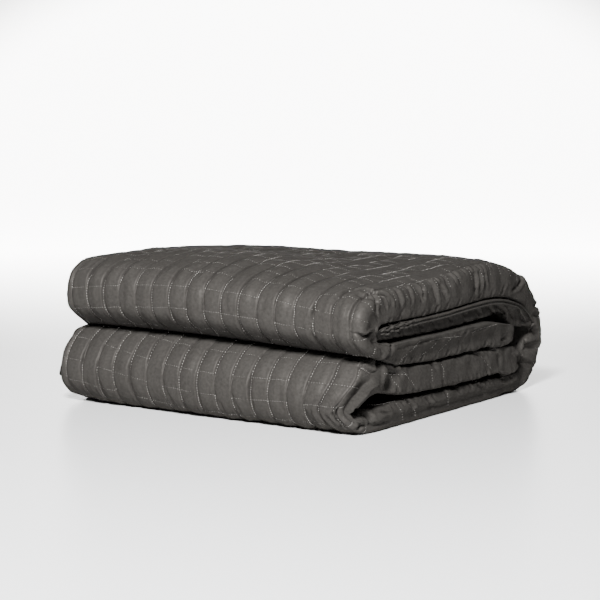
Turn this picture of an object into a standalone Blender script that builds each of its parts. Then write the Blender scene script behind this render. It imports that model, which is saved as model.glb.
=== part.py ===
"""A quilted weighted blanket, folded into a block of stacked layers.

The cloth is one strip, bent back and forth: from its free end at the back it runs
forwards (upper layer of the lower packet), round the lower front roll, back along
the base, up the spine, forwards over the top, round the upper front roll and back
again to its other free end.  An inner ply lies under the top layer and is joined to
the strip inside the upper front roll.  The strip's section lies in the YZ plane and
is lofted along X, where its two ends are drawn in to soft rounded edges.

Units are metres.  +X runs along the folds, -Y is the side of the two front rolls,
+Z is up.  The origin is on the base, under the middle of the block.
"""
import math
from collections import namedtuple

import bmesh
import bpy
from mathutils import Vector

# ---------------------------------------------------------------- driving sizes
MM = 0.001
CELL = 25.4 * MM             # side of one quilting cell
CELLS_LONG = 16              # cells between the first and last seam along X
END_MARGIN = 13.0 * MM       # cloth past the last seam, which rounds over
END_ROUNDING = 17.0 * MM     # how far a layer's faces draw in at its end
CAP_ROUNDING = 0.85          # share of that rounding reached at the cap
ROUNDING_STEPS = (0.4, 0.75, 1.0)  # shares of the quarter turn from last seam to cap
BEND_PASSES = 30             # rounds of easing the rounding at tight bends
BEND_EASING = 0.8            # what one round leaves of it
LEAST_SIDE = 0.3             # share of a short side of the outline kept at the cap
SCALLOP = 2.0 * MM           # how far each sewn row pulls the rounded end in
BLOCK_DEPTH = 456.0 * MM     # front of the rolls to the back of the spine
PUFF_HIGH = 2.2 * MM         # a cell's middle stands this far out
PUFF_BRIDGE = 1.2 * MM       # a cell border without a seam
PUFF_SEAM = -1.4 * MM        # a sewn cell border
BLOCK_HEIGHT = 175.0 * MM    # base to the top of the block
UNEVENNESS = 1.5 * MM        # slow waves in the height
WAVES_ACROSS = (19.0, 2.0)   # their wave number per metre and phase along X
WAVES_DEEP = (11.0, 0.7)     # and front to back
SKEW = 4.0 * MM              # upper packet to +X, lower packet to -X
TALLER_AT_LEFT = 0.056       # share by which the heights grow towards -X
LEVEL_AGAIN = (0.13, 0.34)   # depths between which that difference fades away
END_SAG = 3.0 * MM           # how far the top drops at the two ends
CORNER_SAG = 10.0 * MM       # extra drop of the top at the back +X corner
SAG_START = (0.30, 0.3)      # that drop begins at this depth, and share of the half length
PACKET_SPLIT = 92.0 * MM     # height of the notch between the front rolls
SPLIT_BLEND = 10.0 * MM      # height over which one packet's skew turns into the other's
PATTERN_REPEAT = 4           # cells in one repeat of the interlaced squares
SQUARE = 3                   # cells along the side of one sewn square
FIRST_COLUMN = 2             # place of the first seam in the repeat

BLANKET_COLOUR = (0.083, 0.077, 0.070, 1.0)

# ------------------------------------------------------------- the strip's section
# Depths are measured back from the front rolls, heights up from the base, in mm.
Point = namedtuple("Point", "depth height")
# A slit is the gap between two layers: its middle line, and how far it is open.
Slit = namedtuple("Slit", "depth height gap")

TOP_AND_SPINE = (            # outside, from the notch up over the top to the base
    Point(30, 91.8), Point(17, 98), Point(7, 113), Point(3, 134), Point(8, 152),
    Point(25, 165), Point(55, 171), Point(110, 173), Point(200, 175), Point(290, 175.5),
    Point(335, 173), Point(378, 164), Point(412, 149), Point(436, 127), Point(451, 100),
    Point(456, 70), Point(452, 42), Point(441, 20), Point(424, 6), Point(400, 0),
)
LOWER_ROLL = (               # outside, from the base up to the notch
    Point(36, 0), Point(19, 5), Point(7, 18), Point(0.5, 35), Point(0, 52),
    Point(5, 70), Point(15, 84), Point(30, 90.4),
)
MIDDLE_SLIT = (              # between the two packets, front to back
    Slit(46, 86.0, 1.0), Slit(72, 79.0, 0.8), Slit(120, 73.5, 0.8),
    Slit(185, 71.0, 0.8), Slit(250, 70.5, 0.8), Slit(305, 70.0, 0.8), Slit(358, 69.5, 1.0),
)
LOWER_SLIT = (               # the hollow of the lower roll, then between its layers
    Slit(24, 39.0, 0.0), Slit(28, 39.5, 17.0), Slit(40, 40.5, 27.0), Slit(57, 40.0, 25.0),
    Slit(82, 37.5, 15.0), Slit(118, 35.0, 7.0), Slit(165, 33.5, 3.0), Slit(230, 32.5, 2.0),
    Slit(300, 32.0, 2.0), Slit(376, 32.0, 3.0),
)
UPPER_SLIT = (               # between the inner ply and the layer below it
    Slit(42, 112.0, 0.0), Slit(56, 111.0, 2.0), Slit(110, 109.0, 1.4),
    Slit(185, 108.5, 1.2), Slit(255, 108.0, 1.4), Slit(315, 105.5, 3.0), Slit(356, 101.5, 6.5),
)
TOP_SLIT = (                 # between the top layer and the inner ply
    Slit(42, 128.0, 0.0), Slit(56, 130.0, 2.0), Slit(110, 131.0, 1.4),
    Slit(185, 131.5, 1.2), Slit(260, 132.0, 1.2), Slit(325, 131.0, 1.4), Slit(375, 124.5, 2.0),
    Slit(404, 113.5, 2.5), Slit(421, 101.0, 3.0),
)
LOWER_LAYER_END = (Point(376, 67.0), Point(385, 58.5), Point(386, 46.0), Point(382, 37.0))
SPINE_INSIDE = (
    Point(391, 32.5), Point(407, 40.5), Point(413, 56.0), Point(417, 72.0), Point(427, 86.0),
    Point(429.5, 96.0),
)
INNER_PLY_TIP = (Point(424, 94.0), Point(414, 90.8), Point(392, 94.0), Point(370, 99.5))
UPPER_LAYER_END = (Point(367, 94.5), Point(371, 84.0), Point(368, 74.5))

# Quilting rows: the one that falls at a given height on each front roll.
Landmark = namedtuple("Landmark", "height row")
UPPER_LANDMARK = Landmark(126.0, 2)
LOWER_LANDMARK = Landmark(55.0, 3)
FRONT_DEPTH = 20.0           # the faces of the two rolls lie before this depth
SHORTEST_STEP = 0.35         # share of a step under which an end step is merged
BASE_STEPS = 6               # plain rows across the flat base
INNER_PLY_INSET = 5.0 * MM   # the inner ply's end stands back from the others

# A point of the finished outline: its place, its quilting row (None where the cloth
# is hidden and plain) and how far it stands back at the two ends.
Outline = namedtuple("Outline", "y z row inset")
Station = namedtuple("Station", "x column rounding")


def smooth_curve(points):
    """A close run of points on the Catmull-Rom curve through the given ones."""
    path = [Vector((p.depth, p.height)) for p in points]
    path = [2 * path[0] - path[1]] + path + [2 * path[-1] - path[-2]]
    dense = []
    fine = 24
    for a, b, c, d in zip(path, path[1:], path[2:], path[3:]):
        for k in range(fine):
            t = k / fine
            dense.append(0.5 * (2 * b + (c - a) * t + (2 * a - 5 * b + 4 * c - d) * t ** 2
                                + (3 * b - a - 3 * c + d) * t ** 3))
    return dense + [path[-2]]


def quilted_curve(points, landmark):
    """Half-cell steps along a smooth curve, numbered from the row at a known height.

    Row numbers fall along the curve, as both rolls are followed upwards here.  The
    two end points join hidden cloth and have no row.
    """
    dense = smooth_curve(points)
    lengths = [0.0]
    for a, b in zip(dense, dense[1:]):
        lengths.append(lengths[-1] + (b - a).length)
    front = [k for k, p in enumerate(dense) if p.x < FRONT_DEPTH]
    start = lengths[min(front, key=lambda k: abs(dense[k].y - landmark.height))]
    step = CELL / 2 / MM
    first = math.ceil(SHORTEST_STEP - start / step)
    last = math.floor((lengths[-1] - start) / step - SHORTEST_STEP)
    result, k = plain([points[0]]), 0
    for n in range(first, last + 1):
        goal = start + n * step
        while lengths[k + 1] < goal:
            k += 1
        share = (goal - lengths[k]) / (lengths[k + 1] - lengths[k])
        place = dense[k].lerp(dense[k + 1], share) * MM
        result.append(Outline(place.x, place.y, landmark.row - n / 2, 0.0))
    return result + plain([points[-1]])


def plain(points, inset=0.0):
    """Hidden outline points, with no quilting."""
    return [Outline(p.depth * MM, p.height * MM, None, inset) for p in points]


def slit_side(slit, side, inset=0.0):
    """One side of a slit: +1 for the face above it, -1 for the face below."""
    return plain([Point(s.depth, s.height + side * s.gap / 2) for s in slit], inset)


def section_outline():
    """The closed outline of the folded strip, as seen from -X, starting at the notch."""
    outline = quilted_curve(TOP_AND_SPINE, UPPER_LANDMARK)
    base_back, base_front = TOP_AND_SPINE[-1].depth, LOWER_ROLL[0].depth
    for k in range(1, BASE_STEPS):
        outline += plain([Point(base_back + (base_front - base_back) * k / BASE_STEPS, 0.0)])
    outline += quilted_curve(LOWER_ROLL, LOWER_LANDMARK)
    outline += slit_side(MIDDLE_SLIT, -1)
    outline += plain(LOWER_LAYER_END)
    outline += slit_side(LOWER_SLIT, +1)[:0:-1]
    outline += slit_side(LOWER_SLIT, -1)
    outline += plain(SPINE_INSIDE)
    outline += slit_side(TOP_SLIT, +1)[:0:-1]
    outline += slit_side(TOP_SLIT, -1, INNER_PLY_INSET)
    outline += plain(INNER_PLY_TIP, INNER_PLY_INSET)
    outline += slit_side(UPPER_SLIT, +1, INNER_PLY_INSET)[:0:-1]
    outline += slit_side(UPPER_SLIT, -1)
    outline += plain(UPPER_LAYER_END)
    outline += slit_side(MIDDLE_SLIT, +1)[::-1]
    return outline


def crosses(origin, heading, a, b):
    """Distance along a ray to the segment a-b, or None."""
    edge = b - a
    turn = heading.x * edge.y - heading.y * edge.x
    if abs(turn) < 1e-12:
        return None
    gap = a - origin
    along = (gap.x * edge.y - gap.y * edge.x) / turn
    share = (gap.x * heading.y - gap.y * heading.x) / turn
    if along > 0.1 * MM and -1e-9 <= share <= 1 + 1e-9:
        return along
    return None


def inward_reach(outline):
    """For each outline point, the way into the cloth and how far its end may round."""
    points = [Vector((p.y, p.z)) for p in outline]
    count = len(points)
    area = sum(a.x * b.y - a.y * b.x for a, b in zip(points, points[1:] + points[:1]))
    turn = 1.0 if area > 0 else -1.0
    reach = []
    for k, here in enumerate(points):
        along = (points[(k + 1) % count] - points[k - 1]).normalized()
        inward = Vector((-along.y, along.x)) * turn
        hits = [crosses(here, inward, points[m], points[(m + 1) % count])
                for m in range(count) if m not in (k, (k - 1) % count)]
        width = min(h for h in hits if h is not None)
        reach.append(inward * min(width / 2, END_ROUNDING))
    return keep_order(points, reach)


def keep_order(points, reach):
    """Shorten the reach round tight bends, so that drawn-in neighbours never swap."""
    count = len(points)
    for _ in range(BEND_PASSES):
        for k in range(count):
            m = (k + 1) % count
            side = points[m] - points[k]
            drawn_in = side + reach[m] - reach[k]
            if drawn_in.dot(side) < LEAST_SIDE * side.length_squared:
                reach[k] = reach[k] * BEND_EASING
                reach[m] = reach[m] * BEND_EASING
    return reach


def sewn(line, between):
    """Whether the border on grid line `line` is sewn where it passes `between`.

    Two sets of squares, three cells wide, interlace on a repeat of four cells: one
    set covers cells 0 to 3 of the repeat both ways, the other covers 2 to 5.
    """
    line %= PATTERN_REPEAT
    if line in (0, SQUARE):
        return between % PATTERN_REPEAT < SQUARE
    return (between - 2) % PATTERN_REPEAT < SQUARE


def puff(column, row):
    """Height of the quilted face over its middle surface, at a half-cell grid point."""
    column_on_line = abs(column - round(column)) < 0.1
    row_on_line = abs(row - round(row)) < 0.1
    if not column_on_line and not row_on_line:
        return PUFF_HIGH
    if column_on_line and row_on_line:
        return PUFF_SEAM
    if column_on_line:
        return PUFF_SEAM if sewn(round(column), row) else PUFF_BRIDGE
    return PUFF_SEAM if sewn(round(row), column) else PUFF_BRIDGE


def stations():
    """Places along X: distance from the middle, quilting column and end rounding.

    Past the last seams there is no column, and the ends round over.
    """
    half_length = CELLS_LONG * CELL / 2
    places = []
    for k in range(2 * CELLS_LONG + 1):
        places.append(Station(k * CELL / 2 - half_length, FIRST_COLUMN + k / 2, 0.0))
    for share in ROUNDING_STEPS:
        angle = share * math.pi / 2
        place = half_length + END_MARGIN * math.sin(angle)
        rounding = CAP_ROUNDING * (1 - math.cos(angle))
        places.append(Station(place, None, rounding))
        places.insert(0, Station(-place, None, rounding))
    return places


def ramp(value, start, end):
    """0 before start, 1 past end, and a smooth rise between."""
    share = min(max((value - start) / (end - start), 0.0), 1.0)
    return share * share * (3 - 2 * share)


def settle(x, y, z):
    """Let the block lie as heaped cloth does: uneven height, sagging ends, skewed packets."""
    along = x / (CELLS_LONG * CELL / 2)
    lift = z / BLOCK_HEIGHT
    height = z * (1 - TALLER_AT_LEFT * along * (1 - ramp(y, *LEVEL_AGAIN) * lift))
    height -= lift * END_SAG * along ** 4
    corner = ramp(y, SAG_START[0], BLOCK_DEPTH) * ramp(along, SAG_START[1], 1.0)
    height -= lift * CORNER_SAG * corner
    across = math.sin(WAVES_ACROSS[0] * x + WAVES_ACROSS[1])
    height += lift * UNEVENNESS * across * math.sin(WAVES_DEEP[0] * y + WAVES_DEEP[1])
    upper = ramp(z, PACKET_SPLIT - SPLIT_BLEND, PACKET_SPLIT + SPLIT_BLEND)
    return x + SKEW * (2 * upper - 1), y, height


def build_loft(outline, reach, places):
    """Loft the outline through the stations and close it with two end caps."""
    mesh = bmesh.new()
    rings = []
    for station in places:
        ring = []
        for p, inward in zip(outline, reach):
            back = p.inset * station.rounding / CAP_ROUNDING
            place = Vector((p.y, p.z)) + inward * station.rounding
            if p.row is not None and station.column is None:
                back += SCALLOP * math.cos(math.pi * p.row) ** 2 * station.rounding
            elif p.row is not None:
                place -= inward.normalized() * puff(station.column, p.row)
            end_x = station.x - math.copysign(back, station.x)
            x_out, y_out, z_out = settle(end_x, place.x, max(place.y, 0.0))
            ring.append(mesh.verts.new((x_out, y_out - BLOCK_DEPTH / 2, z_out)))
        rings.append(ring)
    count = len(outline)
    for near, far in zip(rings, rings[1:]):
        for k in range(count):
            m = (k + 1) % count
            mesh.faces.new((near[k], near[m], far[m], far[k]))
    mesh.faces.new(rings[0][::-1])
    mesh.faces.new(rings[-1])
    mesh.normal_update()
    bmesh.ops.triangulate(mesh, faces=mesh.faces, ngon_method='EAR_CLIP')
    bmesh.ops.recalc_face_normals(mesh, faces=mesh.faces)
    return mesh


def centre_on_base(mesh):
    """Bring the origin under the middle of the block, on the surface it rests on."""
    low = [min(v.co[axis] for v in mesh.verts) for axis in range(3)]
    high = [max(v.co[axis] for v in mesh.verts) for axis in range(3)]
    shift = Vector((-(low[0] + high[0]) / 2, -(low[1] + high[1]) / 2, -low[2]))
    bmesh.ops.translate(mesh, vec=shift, verts=mesh.verts)


def quilted_cloth():
    """Dark charcoal woven cloth with a faint sheen."""
    material = bpy.data.materials.new("quilted_cloth")
    material.use_nodes = True
    shader = material.node_tree.nodes["Principled BSDF"]
    shader.inputs["Base Color"].default_value = BLANKET_COLOUR
    shader.inputs["Roughness"].default_value = 0.8
    shader.inputs["Metallic"].default_value = 0.0
    shader.inputs["Sheen Weight"].default_value = 0.3
    return material


def build_blanket(collection):
    """The whole folded blanket, which is one solid."""
    outline = section_outline()
    mesh = build_loft(outline, inward_reach(outline), stations())
    centre_on_base(mesh)
    data = bpy.data.meshes.new("blanket")
    mesh.to_mesh(data)
    mesh.free()
    data.shade_smooth()
    data.materials.append(quilted_cloth())
    blanket = bpy.data.objects.new("blanket", data)
    collection.objects.link(blanket)
    return blanket


def main():
    for leftover in list(bpy.data.objects):
        bpy.data.objects.remove(leftover, do_unlink=True)
    collection = bpy.data.collections.new("weighted_blanket")
    bpy.context.scene.collection.children.link(collection)
    build_blanket(collection)


main()
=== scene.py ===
"""Looks of the folded weighted blanket: fine quilted cloth, stitches, hem, light and camera."""
import math
from collections import namedtuple

import bmesh
import bpy
import numpy as np
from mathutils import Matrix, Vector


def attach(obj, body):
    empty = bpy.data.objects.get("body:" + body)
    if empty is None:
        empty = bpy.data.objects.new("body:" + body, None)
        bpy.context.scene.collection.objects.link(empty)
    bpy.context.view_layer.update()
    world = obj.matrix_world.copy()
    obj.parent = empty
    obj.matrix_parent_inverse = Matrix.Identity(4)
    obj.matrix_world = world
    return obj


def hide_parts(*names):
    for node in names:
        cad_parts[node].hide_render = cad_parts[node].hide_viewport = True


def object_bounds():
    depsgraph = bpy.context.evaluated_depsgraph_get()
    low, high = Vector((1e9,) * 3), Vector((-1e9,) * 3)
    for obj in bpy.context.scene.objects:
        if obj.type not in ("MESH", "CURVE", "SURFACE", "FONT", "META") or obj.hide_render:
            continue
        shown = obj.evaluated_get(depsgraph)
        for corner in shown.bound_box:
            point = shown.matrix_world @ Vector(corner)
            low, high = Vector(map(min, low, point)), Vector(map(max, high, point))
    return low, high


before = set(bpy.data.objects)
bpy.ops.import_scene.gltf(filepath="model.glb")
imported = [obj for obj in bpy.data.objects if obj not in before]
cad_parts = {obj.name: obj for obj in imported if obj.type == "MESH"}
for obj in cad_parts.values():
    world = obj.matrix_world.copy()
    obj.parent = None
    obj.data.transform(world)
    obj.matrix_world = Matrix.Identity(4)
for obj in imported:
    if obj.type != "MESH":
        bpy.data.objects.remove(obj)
CAD_LOW, CAD_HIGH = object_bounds()

# ---- sizes of the fold
# The same fold as the CAD solid, lying less evenly.  Lengths are in millimetres until a mesh is made.
MM = 0.001
TINY = 1e-9
CELL = 25.4  # side of one quilting cell
CELLS_LONG = 16  # cells between the first and last seam along X
HALF_LENGTH = CELLS_LONG * CELL / 2
PATTERN_REPEAT = 4  # the seams' pattern: cells in its repeat, and in the side of a square
SQUARE = 3
FIRST_COLUMN = 2  # the pattern's column at the first seam
END_MARGIN = 13.0  # cloth past the last seam, which rounds over
END_ROUNDING = 22.0  # how far a layer's faces draw in at its end, at most
CAP_ROUNDING = 0.84  # share of that rounding reached at the cap
LEAST_SIDE = 0.22  # share of its length that every side of the outline keeps there
BEND_PASSES = 30  # passes that ease the rounding until it does, each by this factor
BEND_EASING = 0.8
INNER_PLY_INSET = 3.0  # how much shorter the inner ply is at each end
PLY_SHARES = {"ply top": 0.25, "ply under": 1.5}  # the inner ply's shares of the rounding
BASE_STEPS = 6  # steps along the flat underside
CURVE_STEPS = 24  # steps of a smooth curve between two of its points

# ---- how the block lies
BLOCK_DEPTH = 456.0
BLOCK_HEIGHT = 175.0
LEFT_SHIFT = 14.0  # how far the left-hand end's creases stand from the right-hand ones
UNEVENNESS = 1.5  # height of its slow waves, then their radians per mm and their phase
WAVES_ACROSS = (0.019, 2.0)
WAVES_DEEP = (0.011, 0.7)
TALLER_AT_LEFT = 0.056  # as a share of the height, and the depths where the top comes level
LEVEL_AGAIN = (130.0, 340.0)
END_SAG = 3.0  # of the top at both ends
CORNER_SAG = 10.0  # of the back right-hand corner
SAG_START = (300.0, 0.3)  # the depth and the share of X where it starts
CROWNS = ((-10, 115, 165, 65, 12), (0, 270, 220, 110, 5))  # X, depth, their reaches, rise
SKEW = 4.0  # how far each packet stands off along X, the upper one to the right
PACKET_SPLIT = 92.0  # height where the packets meet
SPLIT_BLEND = 10.0  # half the height over which the skew changes sign
SPINE_BLEND = 70.0  # how much more that is at the spine, and the depths where it grows
SPINE_DEPTHS = (320.0, 430.0)

# Where the front draws back: Z, its reach above and below, the side (0 for all along) and the
# distances along X where it grows, how far it draws back, and the depths where that fades.
DRAWN_BACK = (
    (92, 15, 27, 0, (-1, 0), 14, (25, 150)),  # the two folds, where they meet
    (0, 15, 15, -1, (130, 205), 12, (30, 100)),  # the lower fold's foot at its left end
    (68, 18, 18, 1, (120, 215), 8, (25, 110)),  # the lower fold's turn into its right end
)
# The lower fold's right end stands out above and is drawn in below: Z, its reach, the shift along X
# and the depths where it fades.
SWAYS = ((70, 16, 6.0, (45, 80)), (28, 15, -14.0, (22, 62)))
SWAY_ALONG = (140, 205)
# Where that end turns sharply: Z, its reach, and the share of its margin that it keeps back.
SHARP_TURN = (58, 28, 0.8)

# ---- the section's points
# Depth and height of each point; a slit also has its gap.
TOP_AND_SPINE = (
    (30, 91.8), (17, 98), (7, 113), (3, 134), (8, 152),
    (25, 165), (55, 171), (110, 173), (200, 175), (290, 175.5),
    (335, 173), (378, 164), (412, 149), (436, 127), (451, 100),
    (456, 70), (452, 42), (441, 20), (424, 6), (400, 0),
)
LOWER_ROLL = (
    (36, 0), (19, 5), (7, 18), (0.5, 35), (0, 52),
    (5, 70), (15, 84), (30, 90.4),
)
MIDDLE_SLIT = (
    (46, 86, 1), (72, 79, 0.8), (120, 73.5, 0.8),
    (185, 71, 0.8), (250, 70.5, 0.8), (305, 70, 0.8), (358, 69.5, 1),
)
LOWER_SLIT = (
    (19, 28, 0), (23, 31, 11), (31, 36, 17), (44, 38.5, 17),
    (60, 39, 15), (82, 37.5, 8), (118, 35, 4), (165, 33.5, 3),
    (230, 32.5, 2), (300, 32, 2), (376, 32, 3),
)
UPPER_SLIT = (
    (39, 112.5, 0), (47, 111, 2.4), (60, 110, 4.4), (82, 109, 4),
    (110, 108.5, 3), (185, 107.5, 3),
    (255, 107, 3.4), (298, 107, 5), (328, 106, 11), (350, 102.5, 10),
)
TOP_SLIT = (
    (39, 125.5, 0), (47, 128.5, 3.2), (58, 130, 3.6), (80, 130.6, 2.4),
    (110, 131, 1.6),
    (185, 131.5, 1.2), (260, 132, 1.2), (325, 131, 1.4), (375, 124.5, 2),
    (404, 113.5, 2.5), (421, 101, 3),
)
LOWER_LAYER_END = ((376, 67), (385, 58.5), (386, 46), (382, 37))
SPINE_INSIDE = (
    (391, 32.5), (407, 40.5), (418, 56), (422, 72), (429, 86),
    (430.5, 96),
)
INNER_PLY_TIP = ((424, 94), (414, 91.2), (392, 91.5), (368, 95.5))
UPPER_LAYER_END = ((367, 94.5), (371, 84), (368, 74.5))
FRONT_DEPTH = 20  # how far back the front reaches, where one row's height is known
SHORTEST_STEP = 0.35  # shortest part of a half cell at an end of a quilted face
NEAREST_FACE = 0.1  # a layer's other face is farther than this from a point on it

# Steps across half a cell, as shares of it from its seam line to its middle: the ones used all
# along the fold, then the ones added near its ends.
ROLL_STEPS = ((0, 0.08, 0.28, 0.52, 0.76), (0.04, 0.17, 0.4, 0.64, 0.88))
FLAT_STEPS = ((0, 0.08, 0.35, 0.67), (0.2, 0.5, 0.83))
NEARLY_HALF = 0.49  # of a cell: shorter parts, at a curve's ends, are stepped evenly
ROLL_DEPTH = 62  # how far from the front the rolls' finer steps go
COLUMN_STEPS = (0, 0.03, 0.08, 0.16, 0.27, 0.385)  # the same along X, of a whole cell
FINE_STEP = 2.5  # step along the faces between the layers, and how many times it is on the base
BASE_COARSER = 6
END_STATIONS = 12  # rings that round over each end
END_ZONE = 0.15  # share of the last cell that takes the end's finer points
TIP_SHARE = 0.15  # where the finer points between the layers begin

# Each layer's end: how square it is, from 2 for an ellipse, the depth and pitch of its small
# pleats, how much they lean, and the share of its margin that it keeps back.
End = namedtuple("End", "fullness depth pitch lean recess")
ENDS = {
    "top": End(2.5, 0.15, 17, 0.1, 0), "roll": End(2.4, 0.6, 14, 0, 0),
    "base": End(6, 0.6, 30, 0, 0), "top under": End(7, 1.2, 20, 0.2, 0),
    "ply top": End(8, 0.4, 16, 0, 0), "ply under": End(4.5, 2.4, 12, 0.3, 0.3),
    "upper layer": End(7, 1, 22, 0.6, -0.2), "lower layer": End(6, 1.2, 20, -0.2, -0.35),
    "bottom layer": End(6, 1.2, 24, -0.5, -0.3), "spine": End(5, 2.4, 20, 0, 0.1),
}

BLEND_PASSES = 12  # passes that blend these from layer to layer
RECESS_BY, TILT_BY = 0.1, 0.3  # share of the rounding by which an end is recessed, and tilted

# Layers whose end faces look up a little: the height of their middle, and their slope.
TILTS = {"upper layer": (88, 0.15), "lower layer": (54, 0.13), "bottom layer": (18, 0.12)}

# Where the inner layers' ends lie deeper, inside the spine and behind the lower fold's edge:
# Y, Z, half width, half height, share of the margin.
HOLLOWS = ((186, 62, 14, 34, 0.5), (158, 80, 14, 12, 0.6), (-160, 62, 15, 12, 0.45))

# Which way the small pleats of an end lean: layer, whether its upper face, Y for each Z inward;
# and the depths where that begins and is whole, and where it fades and ends.
LEAN_START, LEAN_STOP = (30, 75), (350, 400)
LEANS = (("top", True, 0.45), ("top under", False, 0.9), ("upper layer", False, 0.9),
         ("lower layer", False, -0.2), ("bottom layer", True, 0.6))
# Their kinds, on faces that lie and on faces that stand: strength, folds in a pitch, slow length
# in mm, sharpness, seed.  Then where along the end's turn they grow deep.
LYING = ((1, 1, 60, 7, 23), (0.4, 2.3, 25, 6, 43))
STANDING = ((1, 1, 60, 7, 29),)
PLEAT_TURN = (0, 0.35)
PLEAT_START, PLEAT_EASE = 1.1, 0.4  # strength there, and how much less it is at the cap
# Slow swell of the end faces: height, lengths along Y and Z, and where it grows.
END_SWELL, SWELL_LENGTHS, SWELL_TURN = 1.2, (17, 12), (0.1, 0.5)

# A pucker's profile over the lines beside it: a narrow one, and one this deep or deeper.
WIDE_FROM = 5
NARROW = ((-2, 0.12), (-1, 0.22), (0, -1), (1, -0.25), (2, 0.15))
WIDE = ((-2, 0.12), (-1, 0), (0, -1), (1, -0.75), (2, 0.12))
PUCKER_SHORTER = 0.3  # how much later each may begin and sooner stop, as a share of the turn
PUCKER_FULLNESS = 0.6
LEFT_SPREAD = 1.07  # how much wider they are spread on the left-hand end
# Puckers, by their places on the right-hand end: layer, whether its upper face, where along the
# turn of the end they begin and stop, then the Y and the depth of each.
PUCKERS = (
    ("top", True, 0, 0.8, (
        (-189, 6), (-176, 6.5), (-153, 4.5), (-125, 3), (-118, 3.5), (-102, 5.5), (-90, 6),
        (-66, 7), (-51, 3), (-37, 4), (-20, 5), (-10, 5), (8, 2.5), (25, 6.5), (34, 6.5),
        (45, 5), (55, 6), (76, 3), (92, 4), (106, 2.5), (133, 4), (141, 3))),
    ("top under", False, 0.15, 0.95, (
        (-164, 2), (-146, 2), (-94, 2.4), (-79, 2), (-63, 3), (-41, 2.6), (-12, 3), (20, 2.6),
        (42, 2.6), (96, 3), (70, 1.6), (-120, 1.6))),
    ("upper layer", False, 0.1, 0.95, (
        (-156, 2.4), (-133, 3.6), (-112, 2.4), (-90, 3.2), (-58, 2.4), (-30, 3.2), (-8, 1.6),
        (17, 3), (44, 2.4), (64, 4), (80, 3.6), (104, 3))),
    ("lower layer", False, 0.08, 0.9, (
        (-139, 5), (-103, 6), (-91, 2), (-64, 2), (-35, 6), (-14, 3), (2, 2), (26, 2.6),
        (48, 3), (72, 4), (103, 2.6), (133, 2.4))),
    ("bottom layer", True, 0.1, 1, (
        (-150, 2.4), (-128, 3.4), (-84, 1.6), (-58, 2.4), (-30, 2.4), (2, 1.8), (30, 3),
        (56, 2.6), (80, 4), (112, 3), (136, 2.4))),
)
CREASED_CLOTH = 16  # how far in from the last seam cloth may crease
CREASE_START = (-9, 2)  # from where to where past that seam the creases grow to their depth
CORNER_CREASES = -200  # creases that begin farther forward are the right-hand end's only
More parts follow.
